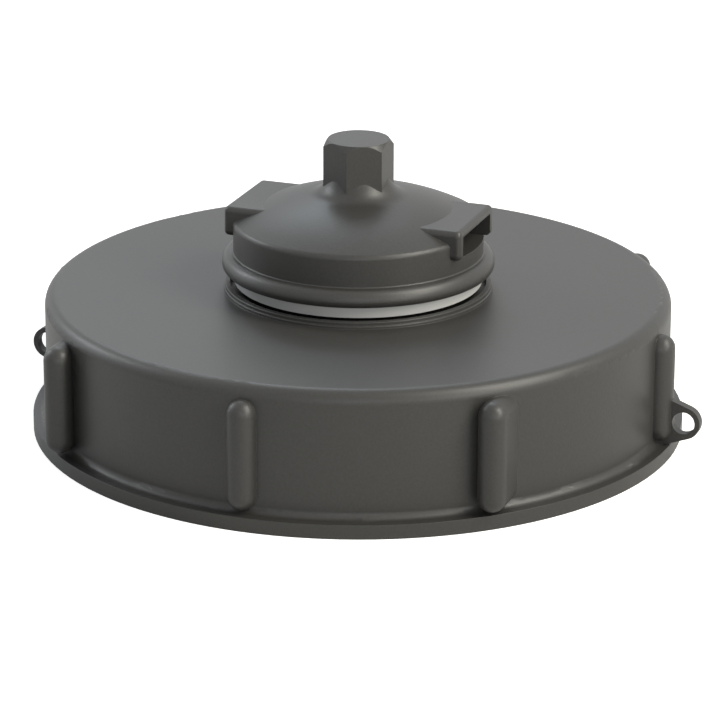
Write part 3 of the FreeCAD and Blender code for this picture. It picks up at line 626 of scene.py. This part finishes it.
@dataclass
class SoftPanel:
    """A square soft light that faces the lid."""

    name: str
    azimuth: float
    elevation: float
    power: float
    colour: tuple[float, float, float]
    side: float = 0.5
    distance: float = 1.5
    aim: tuple[float, float, float] = (0.0, 0.0, 0.03)

    def build(self) -> bpy.types.Object:
        """Hang the panel on a sphere round its aim, azimuth 0 in front of the lid and 90 on its right.

        Returns:
            The lamp.
        """
        azimuth, elevation = math.radians(self.azimuth), math.radians(self.elevation)
        aim = np.array(self.aim)
        away = np.array([
            math.sin(azimuth) * math.cos(elevation),
            -math.cos(azimuth) * math.cos(elevation),
            math.sin(elevation),
        ])
        across = np.cross([0.0, 0.0, 1.0], away)
        across /= np.linalg.norm(across)
        matrix = np.eye(4)
        matrix[:3, 0] = across
        matrix[:3, 1] = np.cross(away, across)
        matrix[:3, 2] = away
        matrix[:3, 3] = aim + away * self.distance
        data = bpy.data.lights.new(self.name, "AREA")
        data.shape = "SQUARE"
        data.size = self.side
        data.energy = self.power
        data.color = self.colour
        lamp = bpy.data.objects.new(self.name, data)
        bpy.context.scene.collection.objects.link(lamp)
        lamp.matrix_world = Matrix(matrix.tolist())
        return lamp


def seen_directly(tree: bpy.types.NodeTree) -> bpy.types.NodeSocket:
    """Add nodes that tell camera, mirror and see-through rays from the others.

    Args:
        tree: the node tree that they go into.

    Returns:
        A socket that is 1 for such a ray and 0 for the rays that carry light.
    """
    path = tree.nodes.new("ShaderNodeLightPath")
    total = path.outputs["Is Camera Ray"]
    for name in ("Is Glossy Ray", "Is Transmission Ray"):
        step = tree.nodes.new("ShaderNodeMath")
        step.operation = "MAXIMUM"
        tree.links.new(total, step.inputs[0])
        tree.links.new(path.outputs[name], step.inputs[1])
        total = step.outputs["Value"]
    return total


@dataclass
class Studio:
    """Plain pale floor, white surroundings and soft lights.

    floor_glow is what the floor gives off to camera and mirror rays, and floor_white is what it gives off
    to camera rays on top of that.
    """

    floor_size: float = 6.0
    floor_colour: tuple[float, float, float] = (0.8, 0.8, 0.8)
    floor_roughness: float = 0.9
    floor_glow: float = 0.25
    floor_white: float = 0.55
    ambient: float = 0.08
    ambient_colour: tuple[float, float, float] = (1.0, 1.0, 1.0)
    panels: list[SoftPanel] = field(default_factory=lambda: [
        SoftPanel("right_key", 80.0, 50.0, 6.1, (1.0, 0.95, 0.82)),
        SoftPanel("right_side", 100.0, 50.0, 6.9, (1.0, 0.98, 0.88)),
        SoftPanel("right_fill", 80.0, 30.0, 8.1, (1.0, 0.95, 0.85)),
        SoftPanel("right_low", 60.0, 12.0, 4.2, (1.0, 0.98, 0.91)),
        SoftPanel("front_low", 20.0, 12.0, 1.7, (0.95, 0.98, 1.0)),
        SoftPanel("left_side", -100.0, 30.0, 5.3, (0.92, 0.97, 1.0)),
        SoftPanel("left_low", -90.0, 12.0, 1.4, (0.9, 0.95, 1.0)),
        SoftPanel("left_back", -144.0, 40.0, 1.6, (0.78, 0.9, 1.0), side=0.4),
        SoftPanel("back", 200.0, 50.0, 1.9, (0.8, 0.9, 1.0)),
    ])

    def build_world(self) -> None:
        """White as seen by the camera and in mirrors, and a soft even light otherwise."""
        world = bpy.data.worlds.new("studio_world")
        bpy.context.scene.world = world
        world.use_nodes = True
        nodes, links = world.node_tree.nodes, world.node_tree.links
        nodes.clear()
        soft = nodes.new("ShaderNodeBackground")
        soft.inputs["Color"].default_value = (*self.ambient_colour, 1.0)
        soft.inputs["Strength"].default_value = self.ambient
        white = nodes.new("ShaderNodeBackground")
        white.inputs["Color"].default_value = (1.0, 1.0, 1.0, 1.0)
        white.inputs["Strength"].default_value = 1.0
        mix = nodes.new("ShaderNodeMixShader")
        links.new(seen_directly(world.node_tree), mix.inputs["Fac"])
        links.new(soft.outputs["Background"], mix.inputs[1])
        links.new(white.outputs["Background"], mix.inputs[2])
        output = nodes.new("ShaderNodeOutputWorld")
        links.new(mix.outputs["Shader"], output.inputs["Surface"])

    def build_floor(self) -> bpy.types.Object:
        """Lay a level square under the lid. It glows to the camera, so that it shows white.

        Returns:
            The floor, staged.
        """
        half = self.floor_size / 2
        points = np.array([(-half, -half, 0), (half, -half, 0), (half, half, 0), (-half, half, 0)])
        floor = add_surface("studio_floor", points, np.array([[0, 1, 2, 3]]), smooth=False)
        material, tree, shader = node_tree("studio_floor")
        nodes, links = tree.nodes, tree.links
        shader.inputs["Base Color"].default_value = (*self.floor_colour, 1.0)
        shader.inputs["Roughness"].default_value = self.floor_roughness
        shader.inputs["Specular IOR Level"].default_value = 0.0
        glow = nodes.new("ShaderNodeMath")
        glow.operation = "MULTIPLY"
        glow.inputs[1].default_value = self.floor_glow
        links.new(seen_directly(tree), glow.inputs[0])
        white = nodes.new("ShaderNodeMath")
        white.operation = "MULTIPLY_ADD"
        white.inputs[1].default_value = self.floor_white
        links.new(nodes.new("ShaderNodeLightPath").outputs["Is Camera Ray"], white.inputs[0])
        links.new(glow.outputs["Value"], white.inputs[2])
        shader.inputs["Emission Color"].default_value = (1.0, 1.0, 1.0, 1.0)
        links.new(white.outputs["Value"], shader.inputs["Emission Strength"])
        floor.data.materials.append(material)
        return floor

    def build(self) -> None:
        """Set up world, floor and lights."""
        self.build_world()
        self.build_floor()
        for panel in self.panels:
            panel.build()
            LOG.info("hung %s", panel.name)


def main() -> None:
    """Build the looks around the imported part, in order."""
    logging.basicConfig(level=logging.INFO, format="%(name)s: %(message)s")
    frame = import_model()
    wardrobe = Wardrobe()
    CastParts(frame["nodes"], frame["record"], wardrobe).dress()
    pieces = [*ScrewThreads().build(wardrobe), BeadFairing().build(wardrobe), ValveCoil().build(wardrobe)]
    for piece in pieces:
        LOG.info("made %s with %d points", piece.name, len(piece.data.vertices))
    Studio().build()
    StudioCamera().build()
    bpy.context.scene.view_settings.view_transform = "Standard"


if __name__ == "__main__":
    main()
